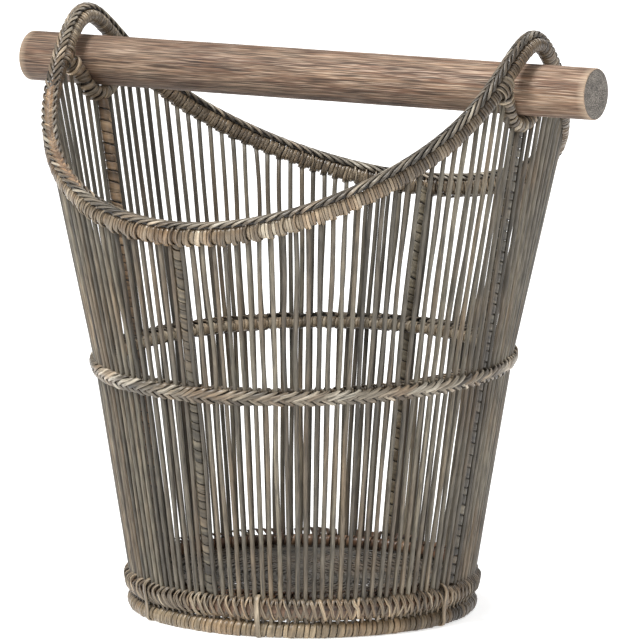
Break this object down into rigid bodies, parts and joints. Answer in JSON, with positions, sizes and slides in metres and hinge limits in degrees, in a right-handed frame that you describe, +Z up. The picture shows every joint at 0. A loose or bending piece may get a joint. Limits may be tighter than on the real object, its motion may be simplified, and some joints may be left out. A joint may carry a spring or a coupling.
{
  "type": "rattan basket",
  "caption": "Tall round basket of upright rattan rods with plaited bands, a saddle-shaped rim with looped ears, and a loose wooden carrying rod.",
  "frame": {"origin": "centre of the bounding box on the surface that the foot ring stands on, below the middle of the floor", "axes": "+X runs along the carrying rod from one ear to the other, -Y is the front, +Z is up"},
  "size_m": [0.52, 0.389, 0.4696],
  "materials": {
    "rattan_rod": "weathered grey-brown rattan, matt",
    "wrapped_cane": "flat cane wound in close turns, satin",
    "plaited_cane": "flat cane plaited in a chevron, satin",
    "woven_floor": "dark grey woven cane, matt",
    "limed_wood": "limed brown-grey timber with a streaky grain, matt"
  },
  "bodies": {
    "basket": {"foot_ring": "wrapped_cane", "floor_brace_front": "rattan_rod", "floor_brace_middle": "rattan_rod", "floor_brace_back": "rattan_rod", "floor_mat": "woven_floor", "base_hoop": "wrapped_cane", "base_braid": "plaited_cane", "rod_panel_01": "rattan_rod", "rod_panel_02": "rattan_rod", "rod_panel_03": "rattan_rod", "rod_panel_04": "rattan_rod", "rod_panel_05": "rattan_rod", "rod_panel_06": "rattan_rod", "rod_panel_07": "rattan_rod", "rod_panel_08": "rattan_rod", "rod_panel_09": "rattan_rod", "rod_panel_10": "rattan_rod", "rod_panel_11": "rattan_rod", "rod_panel_12": "rattan_rod", "rod_panel_13": "rattan_rod", "rod_panel_14": "rattan_rod", "rod_panel_15": "rattan_rod", "rod_panel_16": "rattan_rod", "rod_panel_17": "rattan_rod", "rod_panel_18": "rattan_rod", "rod_panel_19": "rattan_rod", "rod_panel_20": "rattan_rod", "rod_panel_21": "rattan_rod", "rod_panel_22": "rattan_rod", "rod_panel_23": "rattan_rod", "rod_panel_24": "rattan_rod", "rod_panel_25": "rattan_rod", "rod_panel_26": "rattan_rod", "rod_panel_27": "rattan_rod", "rod_panel_28": "rattan_rod", "rod_panel_29": "rattan_rod", "rod_panel_30": "rattan_rod", "rod_panel_31": "rattan_rod", "rod_panel_32": "rattan_rod", "post_right": "wrapped_cane", "post_back": "wrapped_cane", "post_left": "wrapped_cane", "post_front": "wrapped_cane", "waist_hoop": "wrapped_cane", "waist_braid": "plaited_cane", "rim_hoop": "wrapped_cane", "rim_braid": "plaited_cane", "cradle_right": "wrapped_cane", "cradle_left": "wrapped_cane"},
    "carrying_rod": {"handle": "limed_wood"}
  },
  "joints": [
    {"name": "carrying_rod_slide", "type": "slide", "parent": "basket", "child": "carrying_rod", "axis": [1, 0, 0], "range_m": [-0.477, 0.477]}
  ]
}
